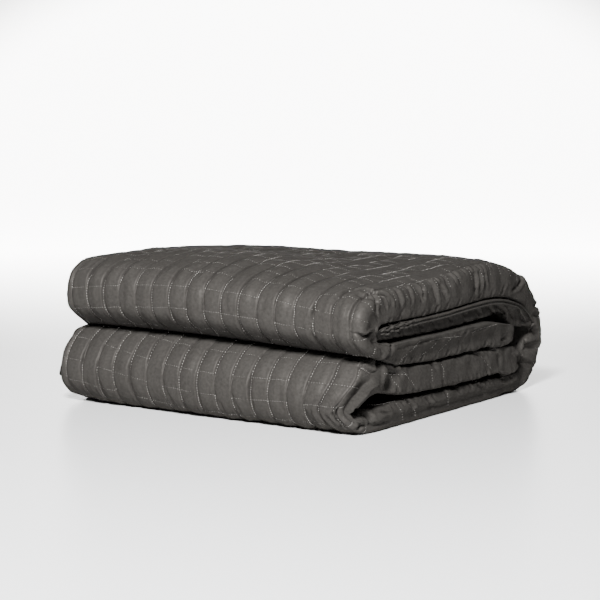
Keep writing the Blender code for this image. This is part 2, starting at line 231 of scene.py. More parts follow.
# Creases, as on the right-hand end, mirrored on the left-hand one: depth, half width, then the Y
# and Z of each of its points.
END_CREASES = (
    # the upper fold's end: its curled edge, the small fold under it, and gathers beside it
    (6, 1.6, -222, 117, -215, 113, -206, 115, -200, 119), (5, 2.8, -193, 134, -197, 122, -195, 104),
    (4, 1.8, -186, 151, -193, 144, -197, 131),
    (3.5, 3.4, -212, 160, -200, 156, -187, 149), (4.5, 1.3, -196, 162, -177, 154, -169, 141),
    (4.5, 1.3, -183, 160, -169, 152, -160, 139), (4, 1.2, -174, 157, -162, 148, -156, 137),
    # the deepest gathers along the upper fold's edge
    (4.5, 2.2, -147, 157, -139, 139), (4, 2, -117, 158, -118, 145), (5, 2.2, -99, 158, -91, 141),
    (4.5, 2, -86, 158, -89, 144), (5.5, 2.4, -62, 156, -57, 139), (5, 2.2, -46, 156, -36, 140),
    (5.5, 2.4, 33, 162, 36, 141), (5.5, 2.2, 45, 162, 47, 141), (5, 2.2, 58, 160, 61, 144),
    # gathers of the inner ply below its hem
    (5, 1.8, -161, 121, -158, 108), (4, 1.6, -138, 120, -134, 109), (4, 1.6, -112, 121, -110, 110),
    (5, 1.8, -88, 120, -83, 110), (4, 1.6, -60, 121, -56, 112), (5, 1.8, -20, 121, -14, 110),
    (4, 1.6, 18, 121, 22, 112), (5, 1.8, 50, 121, 56, 110), (5, 1.8, 82, 120, 90, 108),
    (6, 1.8, 100, 120, 120, 108, 128, 98), (5, 1.8, 128, 112, 150, 98),
    # the layer over the gap between the packets
    (7, 2.2, -177, 76, -163, 87, -160, 101), (2, 1.6, -144, 91, -111, 92, -73, 94, -42, 90),
    (2, 1.6, 28, 91, 64, 94), (5, 2, 110, 74, 129, 74), (3, 1.8, 0, 84, 14, 96),
    # the layer below that gap
    (3.5, 2.4, -200, 78, -187, 68, -179, 55), (4, 2, -163, 75, -147, 65, -128, 60),
    (3.4, 1.8, -141, 71, -130, 60), (3.6, 2, -63, 65, -51, 58), (3.6, 2, 75, 66, 99, 61),
    (3.4, 2, 99, 55, 111, 46), (2.6, 1.8, 55, 62, 65, 57, 73, 50), (3, 1.8, 36, 66, 57, 60),
    # the bottom layer, with its sewn lines drawn in
    (4.2, 1.7, -123, 33, -110, 26, -98, 16, -99, 4), (6.5, 2.6, -195, 33, -190, 22, -183, 12),
    (3.4, 1.8, -187, 8, -159, 10), (3, 1.8, -169, 23, -153, 18),
    (4, 1.8, 40, 29, 68, 31, 97, 31, 116, 26), (4, 1.8, 52, 24, 78, 12),
    (4, 1.8, 101, 31, 120, 23), (3.4, 1.8, -14, 28, 6, 28), (3, 1.8, -70, 26, -50, 8),
    # the pinched lower front corner
    (8, 2, -245, 22, -241, 29, -233, 34), (6, 1.8, -240, 18, -229, 26),
    (4, 2.2, -224, 22, -221, 5), (4.5, 2, -209, 8, -196, 14), (5, 1.8, -212, 32, -206, 18),
    # loops on the inside of the spine
    (8, 3, 172, 79, 195, 77, 213, 70), (9, 3.2, 182, 70, 183, 60, 192, 55, 215, 56),
    (7, 2.6, 151, 46, 184, 51, 216, 50), (8, 3, 154, 42, 176, 42, 212, 26),
    (5, 2, 177, 82, 207, 79), (4, 2, 196, 110, 216, 106), (4, 2, 200, 96, 218, 92),
    (5.2, 2, 158, 160, 160, 146, 148, 138, 132, 134), (4, 2, 198, 142, 212, 134),
)

# Sewn lines that show on the ends, by layer: the Y and right-hand Z of each of their points.
END_SEAMS = {
    "upper layer": (
        (-74, 92, -44, 93, 9, 89), (29, 91, 46, 93, 70, 95, 95, 96),
        (-98, 95, -112, 86, -127, 79, -135, 73), (-55, 90, -63, 84, -79, 78, -88, 74),
        (-24, 90, -36, 81, -48, 75)),
    "lower layer": (
        (-144, 66, -143, 54, -136, 44), (-126, 64, -109, 51, -100, 42), (-62, 58, -62, 43),
        (-40, 64, -34, 53, -37, 44), (57, 60, 70, 48, 82, 39), (-171, 67, -148, 62, -112, 58)),
    "bottom layer": (
        (-137, 28, -129, 18, -126, 6), (-121, 31, -105, 22, -96, 13, -96, 5),
        (-185, 32, -159, 30, -136, 30), (-23, 24, -23, 8), (40, 31, 58, 27, 71, 20)),
}

# Main creases on the quilted faces: depth, half width, then columns and rows.
ROLL_FOLDS = {
    "top": (
        (4.8, 1.7, 16.05, 0.9, 15.85, 2.2), (3.8, 1.8, 15.85, 2.2, 16.1, 3.6),
        (1.9, 1.7, 15, 1.3, 14.9, 2.1), (3.8, 1.7, 17, -0.4, 16.9, 0.7),
        (3.2, 1.8, 17.6, -0.9, 17, -0.4), (2.6, 1.8, 12, 2.2, 12.2, 3.4),
        (1.4, 2.1, 11.3, 1.2, 11.5, 1.9), (1.9, 1.8, 9.9, 1, 10.1, 2),
        (2.2, 1.8, 8, 2.1, 8.3, 3.2), (1.6, 1.8, 6.2, 1.8, 6.3, 3),
        (2.6, 1.8, 3, -0.6, 3.05, 1), (1.9, 1.8, 4, 0.4, 4.1, 2.8),
        (1.3, 2.3, 13.5, 0.8, 13.3, 1.7), (1.1, 2.3, 7.4, 0.6, 7.3, 1.5),
        (1.3, 2.5, 5.5, -0.5, 5.7, 0.6), (1.6, 2.3, 2.4, 0.6, 2.5, 2.2),
    ),
    "roll": (
        (5.8, 1.8, 16.45, 4, 16.35, 5.2), (4.8, 1.7, 16.2, 4.1, 16.1, 5.2),
        (2.6, 1.8, 16.6, 3.4, 16.45, 4), (3.5, 2.3, 17.5, 4.2, 17.7, 5.3),
        (5, 1.5, 18, 4.1, 17.85, 4.8), (6, 1.5, 18.3, 3.8, 18.1, 4.6),
        (2.9, 1.8, 13, 2.9, 13.1, 4.3), (1.9, 2.1, 12.1, 3.8, 12.3, 4.9),
        (1.9, 1.8, 10, 3.1, 10.1, 4.6), (2.2, 2.1, 8.1, 3.6, 8.4, 5),
        (2.2, 1.7, 6, 2.9, 6, 4.5), (1.9, 2, 4, 3.6, 4.2, 5),
        (1.6, 2.5, 14.6, 3.2, 14.8, 4.4), (1.1, 2.3, 9.2, 2.2, 9, 3),
        (1.9, 2, 3.1, 2.4, 3, 4), (1.6, 2.1, 11.2, 4.2, 11.4, 5.2),
    ),
}

# Hem ridges of the inner ply: distance under its top, where they leave it, and the way back.
HEM_RIDGES = (
    (1.4, 430, ((424.5, 96.5), (424, 93), (419, 90.5))),
    (5.8, 378, ((388, 109.5), (398, 103), (405, 97))),
)
HEM_OUT, HEM_ACROSS, HEM_SIDES = 2, 1.25, 12  # a ridge's half sizes and corners
HEM_TIP, HEM_TAPER = 0.25, 3  # its size at a tip, and the steps in which it comes to full size
HEM_START, HEM_STEP = 40, 2.2  # the depth where it begins, and its path's steps
HEM_STANDS_OUT = 2.2
# Towards the front it hangs loose: the negative depths where that grows, its sag there, and the
# height and radians per mm of its waves along the depth, in height and outward.  Then its uneven
# height, there and everywhere: size, length and seed.
LOOSE_HEM = (-150, -70)
HEM_SAG = 1.2
HEM_WAVES = ((0.8, 0.43), (1.1, 0.3), (0.9, 0.61))
HEM_NOISE = ((0.5, 4, 47), (0.35, 17, 41))

# ---- colours, light and camera
CLOTH_DARK = (0.034, 0.0317, 0.0293)
CLOTH_LIGHT = (0.050, 0.0470, 0.0435)
THREAD_DARK = (0.09, 0.086, 0.08)
THREAD_LIGHT = (0.46, 0.44, 0.415)
WORLD_STRENGTH = 0.035
WALL_GLOW = 9.0
WALL_OVAL = (1, 0, 1.45)  # the wall's glow reaches less far up than to its sides
# The backdrop, in metres: where its floor begins and sweeps up, that radius, and the wall's sizes.
FLOOR = (-6.0, 2.2)
SWEEP = 1.5
WALL_TOP, WALL_HALF = 4.5, 8.0
HALF_HEIGHT = 0.09  # half the blanket's height in metres, which the light faces
CAMERA_AZIMUTH, CAMERA_ELEVATION = 34.6, 6.3
CAMERA_PLACE = (1.2040, -1.7619, 0.3552)
SENSOR_WIDTH, FOCAL_LENGTH = 36.0, 102.0

# ---- quilting relief
STITCH_LENGTH, STITCH_RADIUS = 1.2, 0.34
COLUMN_GROOVE = (2.2, 0.8)  # depth and half width of a seam round the folds, in mm
ROW_GROOVE = (0.3, 0.9)  # the same, of a seam along the folds
COLUMN_SWELL = (1.3, 4.0)  # rise of the cloth away from such a seam, and its reach
ROW_SWELL = (0.25, 4.0)
PANEL_SWELL = 1.1  # how much fuller each panel is in its middle
LIP = (1.4, 1.5, 0.85)  # the fuller lip at one side: height, distance, half width
ROW_DRIFT = {  # columns, and the drift of every row there, in cells
    "top": ((1, 3, 4.5, 6, 7.5, 9, 11, 14, 15.5, 17, 19),
            (0.65, 0.43, 0.29, 0.15, 0.05, -0.03, -0.05, 0.02, 0.12, 0.24, 0.36)),
    "roll": ((1, 3, 4.3, 5.7, 7, 8, 9.5, 11, 12.5, 13.7, 15, 17, 19),
             (-1.1, -0.9, -0.7, -0.5, -0.32, -0.2, -0.1, -0.05, -0.07, -0.13, -0.19, -0.24, -0.26)),
}
GROOVE_ASIDE = 0.7  # how far to its other side the groove lies
SEAM_STRENGTH = 0.85  # of a column seam's relief
SEAM_VARIES = 0.55  # how much that varies, and gains at the top's last seam
LAST_SEAM = 0.9
UNSEWN = 0.55  # share of a seam's relief that carries on past its sewn cells
NEAR_SEAM = 6.0  # how far from its stitches a seam has its effects
ROW_STRENGTH = 0.9
# The top's front edge stands out.  The rows, counted back from the front, where it begins and ends
# and where the flat top begins, then what they change in the strengths above.
EDGE_BEGINS, EDGE_ENDS, FLAT_BEGINS = (-1.5, 0.5), (1.5, 4.0), (0.5, 3.5)
EDGE_DROP, EDGE_STRENGTH, EDGE_UNSEWN, EDGE_ROW = 1.3, 0.45, 0.2, 0.3
FLAT_CALM, FLAT_WRINKLE = 0.45, 0.7
# Unevenness near either kind of seam and all over: height, waves per cell across and down, seed.
COLUMN_LUMPS = ((0.3, 1.1, 3.7, 5),)
ROW_LUMPS = ((0.35, 3.9, 1.1, 7),)
FACE_LUMPS = ((0.9, 0.9, 0.5, 11), (0.7, 2.3, 0.8, 13), (0.35, 4.1, 1.3, 19))
# A crease's lip: its height, distance and half width as shares of the crease's own, and how much
# shallower the crease is at its ends.
CREASE_LIP = (0.32, 2.1, 1.2)
CREASE_FADE = 0.6
MIDDLE_SURFACE = 1.6  # the cloth's own face over a sewn line
SEAMLESS = (1.0, 14.0)  # how far from a quilted face's edges its relief begins and is whole
STITCHES_PER_CELL = 8  # stitches in the side of a cell
ROW_EDGE, COLUMN_EDGE = 0.06, 0.1  # cells without stitches along the edges of a quilted face
READ_STEP = 0.03  # cells to either side that give a stitch its direction
COLUMN_THREAD, ROW_THREAD, END_THREAD = 1.15, 0.48, 0.5  # radii, as shares of STITCH_RADIUS
THREAD_SIDES = 6
FULL_THREAD = 0.55  # share of a stitch between its pointed ends
STITCH_RISE = 0.3  # height of its middle over the cloth, in radii
STITCH_LEAN = 0.25  # most that it leans from its seam
LOWEST_STITCH = 1.5  # none is sewn below this height
NEIGHBOURS = 5  # points of the cloth that place a stitch on an end


def noise(x, y, seed):
    """Smooth value noise from -1 to 1, over arrays of places."""
    size = 256
    lattice = np.random.default_rng(seed).uniform(-1, 1, (size, size))
    x0, y0 = np.floor(x).astype(int), np.floor(y).astype(int)
    fx, fy = x - x0, y - y0
    fx, fy = fx * fx * (3 - 2 * fx), fy * fy * (3 - 2 * fy)

    def at(i, j):
        return lattice[i % size, j % size]

    low = at(x0, y0) * (1 - fx) + at(x0 + 1, y0) * fx
    high = at(x0, y0 + 1) * (1 - fx) + at(x0 + 1, y0 + 1) * fx
    return low * (1 - fy) + high * fy


def ramp(value, start, end):
    share = np.clip((value - start) / (end - start), 0.0, 1.0)
    return share * share * (3 - 2 * share)


def bump(distance, half_width):
    return np.exp(-(distance / half_width) ** 2)


def unit(vectors):
    return vectors / np.maximum(np.linalg.norm(vectors, axis=-1), TINY)[..., None]


def cross(a, b):
    return a[..., 0] * b[..., 1] - a[..., 1] * b[..., 0]


def travelled(path):
    """How far along a path each of its points lies."""
    return np.concatenate([[0], np.cumsum(np.linalg.norm(np.diff(path, axis=0), axis=1))])


def read_path(path, at):
    """Places on a path, by how far along it they lie."""
    lengths = travelled(path)
    return np.column_stack([np.interp(at, lengths, path[:, axis]) for axis in (0, 1)])


def circle(sides):
    return [(math.cos(angle), math.sin(angle)) for angle in np.arange(sides) * math.tau / sides]


# ---- the section
class Outline:
    """The closed outline of the strip: each point's place, quilting row, layer, and share of the
    rounding."""

    def __init__(self):
        self.places, self.rows, self.layers, self.shares = [], [], [], []

    def add(self, points, layer, rows=None, share=None):
        count = len(points)
        self.places += [tuple(point) for point in points]
        self.rows += [math.nan] * count if rows is None else list(rows)
        self.layers += [layer] * count
        self.shares += [PLY_SHARES.get(layer, 1.0) if share is None else share] * count

    def add_slit(self, slit, side, layer, backwards=False):
        points = slit_face(slit, side)
        self.add(points[:0:-1] if backwards else points, layer)


def slit_face(slit, side):
    """Points of a slit's upper (+1) or lower (-1) face."""
    return [(depth, height + side * gap / 2) for depth, height, gap in slit]


def smooth_curve(points):
    """A smooth curve through points, as a path of short steps."""
    path = np.array(points, float)
    path = np.vstack([2 * path[0] - path[1], path, 2 * path[-1] - path[-2]])
    t = (np.arange(CURVE_STEPS) / CURVE_STEPS)[:, None]
    runs = []
    for a, b, c, d in zip(path, path[1:], path[2:], path[3:]):
        runs.append(0.5 * (2 * b + (c - a) * t + (2 * a - 5 * b + 4 * c - d) * t ** 2
                           + (3 * b - a - 3 * c + d) * t ** 3))
    return np.vstack(runs + [path[-2:-1]])


def add_quilted(outline, points, layer, height, row):
    """Half-cell steps along a smooth curve, numbered from the row at a height on the front."""
    curve = smooth_curve(points)
    lengths = travelled(curve)
    front = np.flatnonzero(curve[:, 0] < FRONT_DEPTH)
    start = lengths[front[np.argmin(abs(curve[front, 1] - height))]]
    step = CELL / 2
    first = math.ceil(SHORTEST_STEP - start / step)
    last = math.floor((lengths[-1] - start) / step - SHORTEST_STEP)
    counts = np.concatenate([[-start / step], np.arange(first, last + 1),
                             [(lengths[-1] - start) / step]])
    outline.add(read_path(curve, start + counts * step), layer, row - counts / 2)


def section_outline():
    outline = Outline()
    add_quilted(outline, TOP_AND_SPINE, "top", height=126, row=2)
    back, front = TOP_AND_SPINE[-1][0], LOWER_ROLL[0][0]
    base = [(back + (front - back) * k / BASE_STEPS, 0.0) for k in range(1, BASE_STEPS)]
    outline.add(base, "base")
    add_quilted(outline, LOWER_ROLL, "roll", height=55, row=3)
    outline.add_slit(MIDDLE_SLIT, -1, "lower layer")
    outline.add(LOWER_LAYER_END, "lower layer")
    outline.add_slit(LOWER_SLIT, +1, "lower layer", backwards=True)
    outline.add_slit(LOWER_SLIT, -1, "bottom layer")
    outline.add(SPINE_INSIDE, "spine")
    outline.add_slit(TOP_SLIT, +1, "top under", backwards=True)
    outline.add_slit(TOP_SLIT, -1, "ply top")
    outline.add(INNER_PLY_TIP[:2], "ply under", share=1.0)
    outline.add(INNER_PLY_TIP[2:], "ply under")
    outline.add_slit(UPPER_SLIT, +1, "ply under", backwards=True)
    outline.add_slit(UPPER_SLIT, -1, "upper layer")
    outline.add(UPPER_LAYER_END, "upper layer")
    outline.add(slit_face(MIDDLE_SLIT, +1)[::-1], "upper layer")
    return outline


def inward_reach(points, shares):
    """For each outline point, the way into the cloth and how far its end rounds in."""
    count = len(points)
    after, before = np.roll(points, -1, axis=0), np.roll(points, 1, axis=0)
    along = unit(after - before)
    inward = np.column_stack([-along[:, 1], along[:, 0]]) * np.sign(cross(points, after).sum())
    edges = after - points
    reach = np.zeros_like(points)
    for k in range(count):
        turn = cross(inward[k], edges)
        turn = np.where(abs(turn) < TINY, np.nan, turn)
        gap = points - points[k]
        distance, share = cross(gap, edges) / turn, cross(gap, inward[k]) / turn
        hit = (distance > NEAREST_FACE) & (share >= -TINY) & (share <= 1 + TINY)
        hit[[k, k - 1]] = False
        reach[k] = inward[k] * min(distance[hit].min() / 2, END_ROUNDING) * shares[k]
    for _ in range(BEND_PASSES):
        for k in range(count):
            m = (k + 1) % count
            side = points[m] - points[k]
            if (side + reach[m] - reach[k]) @ side < LEAST_SIDE * side @ side:
                reach[k] *= BEND_EASING
                reach[m] *= BEND_EASING
    return reach


# Points of levels 0 and 2 are used all along the fold, those of 1 and 3 only near its ends.  Levels
# 2 and 3 lie on the hidden faces.
Fine = namedtuple("Fine", "place reach row inset level layer")


def refine(outline):
    """Fine points round the outline, on smooth curves through its own points."""
    points, layers = np.array(outline.places, float), np.array(outline.layers)
    insets = INNER_PLY_INSET * np.isin(layers, list(PLY_SHARES))
    reach = inward_reach(points, outline.shares)
    for layer, upper, lean in LEANS:
        here = (layers == layer) & ((reach[:, 1] < 0) == upper)
        depth = points[here, 0]
        calm = ramp(depth, *LEAN_START) * ramp(-depth, -LEAN_STOP[1], -LEAN_STOP[0])
        reach[here, 0] += lean * abs(reach[here, 1]) * calm
    chords = np.roll(points, -1, axis=0) - points
    sides = np.linalg.norm(chords, axis=1)[:, None]
    ways, before = chords / sides, np.roll(sides, 1, axis=0)
    speeds = (np.roll(ways, 1, axis=0) * sides + ways * before) / (before + sides)
    table, names = [], []
    for k, side in enumerate(sides[:, 0]):
        m = (k + 1) % len(points)
        row, next_row = outline.rows[k], outline.rows[m]
        quilted = layers[k] == layers[m] and not math.isnan(row + next_row)
        steps = max(1, round(side / FINE_STEP))
        if quilted and abs(row - next_row) > NEARLY_HALF:
            kept, added = ROLL_STEPS if points[k][0] < ROLL_DEPTH else FLAT_STEPS
            shares, levels = np.array(kept + added), np.repeat([0, 1], [len(kept), len(added)])
            if abs(row - round(row)) > 0.1:  # it starts from a cell's middle
                shares = np.where(shares > 0, 1 - shares, 0)
            order = np.argsort(shares)
            shares, levels = shares[order], levels[order]
        elif quilted:
            shares, levels = np.arange(steps) / steps, np.zeros(steps)
        else:
            steps = max(1, steps // BASE_COARSER) if layers[k] == "base" else steps
            shares, levels = np.arange(steps) / steps, np.full(steps, 3)
            levels[0] = 2 if math.isnan(row) else 0
        for t, level in zip(shares, levels):
            place = ((2 * t ** 3 - 3 * t ** 2 + 1) * points[k]
                     + (t ** 3 - 2 * t ** 2 + t) * side * speeds[k]
                     + (3 * t ** 2 - 2 * t ** 3) * points[m] + (t ** 3 - t ** 2) * side * speeds[m])
            at = row + (next_row - row) * t if quilted else (row if t == 0 else math.nan)
            table.append((place[0], max(place[1], 0.0), *(reach[k] * (1 - t) + reach[m] * t),
                          at, insets[k] * (1 - t) + insets[m] * t, level))
            names.append(layers[k])
    table = np.array(table, float)
    return Fine(table[:, :2], table[:, 2:4], table[:, 4], table[:, 5], table[:, 6].astype(int),
                np.array(names))


# ---- along X
# share: how far the end has turned over, 0 along the fold; rounding: how far it draws in
Stations = namedtuple("Stations", "along column share rounding side")


def stations():
    steps = np.array(COLUMN_STEPS)
    in_cell = np.concatenate([steps, [0.5], 1 - steps[:0:-1]])
    columns = np.concatenate([cell + in_cell for cell in range(CELLS_LONG)] + [[CELLS_LONG]])
    x = columns * CELL - HALF_LENGTH
    share = np.arange(1, END_STATIONS + 1) / END_STATIONS
    rounding = CAP_ROUNDING * share ** 2
    margin = end_margin(rounding, ENDS["top"].fullness)
    path = np.hypot(np.diff(margin, prepend=0), np.diff(rounding * END_ROUNDING, prepend=0))
    past = np.cumsum(path) / CELL
    none, end = np.zeros(len(x)), np.full(END_STATIONS, HALF_LENGTH)
    return Stations(
        np.concatenate([-end, x, end]),
        np.concatenate([-past[::-1], columns, CELLS_LONG + past]) + FIRST_COLUMN,
        np.concatenate([share[::-1], none, share]),
        np.concatenate([rounding[::-1], none, rounding]),
        np.concatenate([-np.ones(END_STATIONS), none, np.ones(END_STATIONS)]),
    )


def end_margin(rounding, fullness):
    """How far past the last seam the end reaches where it has drawn in by a share."""
    return END_MARGIN * (1 - (1 - rounding) ** fullness) ** (1 / fullness)


def settle(x, y, z):
    """The block lies as heaped cloth does: uneven height, sagging ends, skewed packets."""
    along = x / HALF_LENGTH
    lift = z / BLOCK_HEIGHT
    height = z * (1 - TALLER_AT_LEFT * along * (1 - ramp(y, *LEVEL_AGAIN) * lift))
    height = height - lift * END_SAG * along ** 4
    corner = ramp(y, SAG_START[0], BLOCK_DEPTH) * ramp(along, SAG_START[1], 1.0)
    height = height - lift * CORNER_SAG * corner
    for x0, y0, wide, deep, rise in CROWNS:
        height = height + rise * lift ** 2 * bump(x - x0, wide) * bump(y - y0, deep)
    across = np.sin(WAVES_ACROSS[0] * x + WAVES_ACROSS[1])
    height = height + lift * UNEVENNESS * across * np.sin(WAVES_DEEP[0] * y + WAVES_DEEP[1])
    blend = SPLIT_BLEND + SPINE_BLEND * ramp(y, *SPINE_DEPTHS)
    upper = ramp(z, PACKET_SPLIT - blend, PACKET_SPLIT + blend)
    back, sway = 0 * x, 0 * x
    for middle, above, below, side, along, most, fading in DRAWN_BACK:
        near = bump(z - middle, np.where(z > middle, above, below))
        back = back + most * (near * ramp(side * x, *along) * (1 - ramp(y, *fading)))
    for middle, reach, shift, fading in SWAYS:
        sway = sway + shift * bump(z - middle, reach) * (1 - ramp(y, *fading))
    sway = sway * ramp(x, *SWAY_ALONG)
    place = [x + SKEW * (2 * upper - 1) + sway, y - BLOCK_DEPTH / 2 + back, height]
    return np.stack(place, axis=-1)


# ---- quilting
def drift(layer, column):
    """How many cells lower than the grid's own a row lies at a column: rows run unevenly."""
    return np.interp(column, *ROW_DRIFT[layer])


def sewn(line, between):
    """Whether grid line `line` is sewn where it passes `between`, for arrays."""
    line = np.mod(line, PATTERN_REPEAT)
    first = np.mod(between, PATTERN_REPEAT) < SQUARE
    second = np.mod(between - 2, PATTERN_REPEAT) < SQUARE
    return np.where((line == 0) | (line == SQUARE), first, second)


def seam_distance(across, down, lines=None):
    """Millimetres to the nearest sewn length of the lines that run down, up to three cells."""
    nearest = np.full(across.shape, 3.0)
    line0, cell0 = np.floor(across), np.floor(down)
    for line in (line0 - 1, line0, line0 + 1, line0 + 2):
        there = True if lines is None else (line >= lines[0]) & (line <= lines[1])
        for cell in (cell0 - 1, cell0, cell0 + 1):
            past = np.maximum(0, np.maximum(cell - down, down - cell - 1))
            distance = np.hypot(across - line, past)
            closer = sewn(line, cell + 0.5) & (distance < nearest) & there
            nearest = np.where(closer, distance, nearest)
    return nearest * CELL


def quilting_relief(column, row, layer):
    """Height of the quilted face over a sewn line's own level, in mm."""
    ends = (FIRST_COLUMN, FIRST_COLUMN + CELLS_LONG)
    place, row = row, row - drift(layer, column)
    to_column, to_row = seam_distance(column, row, ends), seam_distance(row, column)
    edge, flat = 0 * row, 0 * row
    if layer == "top":
        edge = ramp(-row, *EDGE_BEGINS) - EDGE_DROP * ramp(-row, *EDGE_ENDS)
        flat = ramp(-row, *FLAT_BEGINS)
    line = np.clip(np.round(column), *ends)
    beside = (column - line) * CELL
    unsewn = UNSEWN + EDGE_UNSEWN * edge
    strength = SEAM_STRENGTH + EDGE_STRENGTH * edge
    strength *= 1 + SEAM_VARIES * noise(line * 7.3, row * 0.8, 2)
    strength *= 1 + LAST_SEAM * (line == ends[1]) * (layer == "top")
    strength *= unsewn + (1 - unsewn) * bump(to_column - abs(beside), NEAR_SEAM)
    strength *= 1 - FLAT_CALM * flat
    height = COLUMN_SWELL[0] * (1 - np.exp(-abs(beside) / COLUMN_SWELL[1])) * strength
    height += PANEL_SWELL * abs(np.sin(np.pi * column)) * strength
    height -= COLUMN_GROOVE[0] * bump(beside - GROOVE_ASIDE, COLUMN_GROOVE[1]) * strength
    height += LIP[0] * bump(beside + LIP[1], LIP[2]) * strength
    height += ROW_SWELL[0] * (1 - np.exp(-to_row / ROW_SWELL[1]))
    height -= ROW_GROOVE[0] * bump(to_row, ROW_GROOVE[1]) * (ROW_STRENGTH - EDGE_ROW * edge)
    for lumps, near in ((COLUMN_LUMPS, np.exp(-to_column / NEAR_SEAM)),
                        (ROW_LUMPS, np.exp(-to_row / NEAR_SEAM)), (FACE_LUMPS, 1)):
        for rise, across, down, seed in lumps:
            height += rise * noise(column * across, row * down, seed) * near
    height -= FLAT_WRINKLE * flat * (1 - abs(noise(column * 1.7, row * 0.45, 17))) ** 6
    for depth, width, *path in ROLL_FOLDS.get(layer, ()):
        path = np.array(path) * CELL
        height += crease_relief(column * CELL, place * CELL, path, depth, width)
    return height - MIDDLE_SURFACE


def crease_relief(u, v, path, depth, width):
    """A furrow along a path, shallower at its ends, with a fuller lip on one side of it."""
    path = np.reshape(path, (-1, 2))
    lengths = np.linalg.norm(np.diff(path, axis=0), axis=1)
    starts = np.concatenate([[0], np.cumsum(lengths)])
    distance, side, share = np.full(u.shape, 1e9), np.zeros(u.shape), np.zeros(u.shape)
    for (u0, v0), (u1, v1), length, start in zip(path, path[1:], lengths, starts):
        du, dv = (u1 - u0) / length, (v1 - v0) / length
        along = np.clip((u - u0) * du + (v - v0) * dv, 0, length)
        away = np.hypot(u - u0 - along * du, v - v0 - along * dv)
        closer = away < distance
        distance = np.where(closer, away, distance)
        side = np.where(closer, np.sign((v - v0) * du - (u - u0) * dv), side)
        share = np.where(closer, (start + along) / starts[-1], share)
    high, away, wide = CREASE_LIP
    lip = high * bump(distance * side - away * width, wide * width)
    return depth * (1 - CREASE_FADE * (2 * share - 1) ** 4) * (lip - bump(distance, width))


# ---- the cloth's grid
def grid_normals(grid):
    """Outward normals of a grid of rings, by the steps to its neighbours."""
    return unit(np.cross(np.gradient(grid, axis=0),
                         np.roll(grid, -1, axis=1) - np.roll(grid, 1, axis=1)))


def add_puckers(height, fine, rings, side):
    """Narrow pleats, each along one line of points round the end."""
    lines = np.flatnonzero((rings.side == side) & (rings.share > 0))
    turn = rings.share[lines]
    for layer, upper, start, stop, puckers in PUCKERS:
        here = np.flatnonzero((fine.layer == layer) & ((fine.reach[:, 1] < 0) == upper))
        depths = fine.place[here, 0] - BLOCK_DEPTH / 2
        for y, depth in puckers:
            late = PUCKER_SHORTER * math.sin(1.9 * y) ** 2
            early = PUCKER_SHORTER * math.sin(1.3 * y + 1) ** 2
            along = np.clip((turn - start - late) / (stop - start - late - early), 0, 1)
            profile = np.sin(np.pi * along) ** PUCKER_FULLNESS
            y = y if side > 0 else LEFT_SPREAD * y + LEFT_SHIFT
            middle = here[np.argmin(abs(depths - y))]
            for step, share in WIDE if depth >= WIDE_FROM else NARROW:
                height[lines, (middle + step) % len(fine.level)] += depth * share * profile


def pleats(across, along, kinds):
    """Narrow folds that wander slowly, deepest where the noise passes through zero."""
    depth = 0 * across
    for strength, count, slow, sharpness, seed in kinds:
        fold = 1 - abs(noise(count * across, along / slow + 9, seed))
        depth = depth + strength * fold ** sharpness
    return depth


def end_relief(grid, fine, rings):
    """Pleats and creases of the rounded ends, in mm, nearly all of them inward."""
    share, sides = rings.share[:, None], rings.side[:, None]
    level = unit(np.roll(fine.place, -1, axis=0) - np.roll(fine.place, 1, axis=0))[:, 0] ** 2
    height = np.zeros(grid.shape[:2])
    for layer, end in ENDS.items():
        here = fine.layer == layer
        y, z = grid[:, here, 1], grid[:, here, 2]
        # both ends and both ways read the noise at places of their own
        lying = pleats((y + end.lean * z) / end.pitch + 40 + 17 * sides, z, LYING)
        standing = pleats((z + end.lean * y) / end.pitch + 20 + 11 * sides, y, STANDING)
        depth = lying * level[here] + standing * (1 - level[here])
        depth = depth * ramp(share, *PLEAT_TURN) * (PLEAT_START - PLEAT_EASE * share)
        height[:, here] -= end.depth * depth
        swell = noise(y / SWELL_LENGTHS[0], z / SWELL_LENGTHS[1], 37)
        height[:, here] += END_SWELL * swell * ramp(share, *SWELL_TURN)
    for side in (-1, 1):
        add_puckers(height, fine, rings, side)
        near = np.flatnonzero(side * grid[:, 0, 0] > HALF_LENGTH - CREASED_CLOTH)
        x, y, z = np.moveaxis(grid[near], -1, 0)
        weight = ramp(side * x, HALF_LENGTH + CREASE_START[0], HALF_LENGTH + CREASE_START[1])
        for depth, width, *path in END_CREASES:
            path = np.reshape(path, (-1, 2)).astype(float)
            if side < 0:
                if path[0, 0] < CORNER_CREASES:
                    continue
                path[:, 0] = LEFT_SHIFT + path[:, 0].min() + path[:, 0].max() - path[:, 0]
            height[near] += crease_relief(y, z, path, depth, width) * weight
    return height


def end_shape(fine):
    """Fullness and recess of every outline point's end, blended from layer to layer."""
    shape = np.array([(ENDS[layer].fullness, ENDS[layer].recess) for layer in fine.layer])
    for _ in range(BLEND_PASSES):
        shape = (np.roll(shape, 1, axis=0) + 2 * shape + np.roll(shape, -1, axis=0)) / 4
    return shape.T


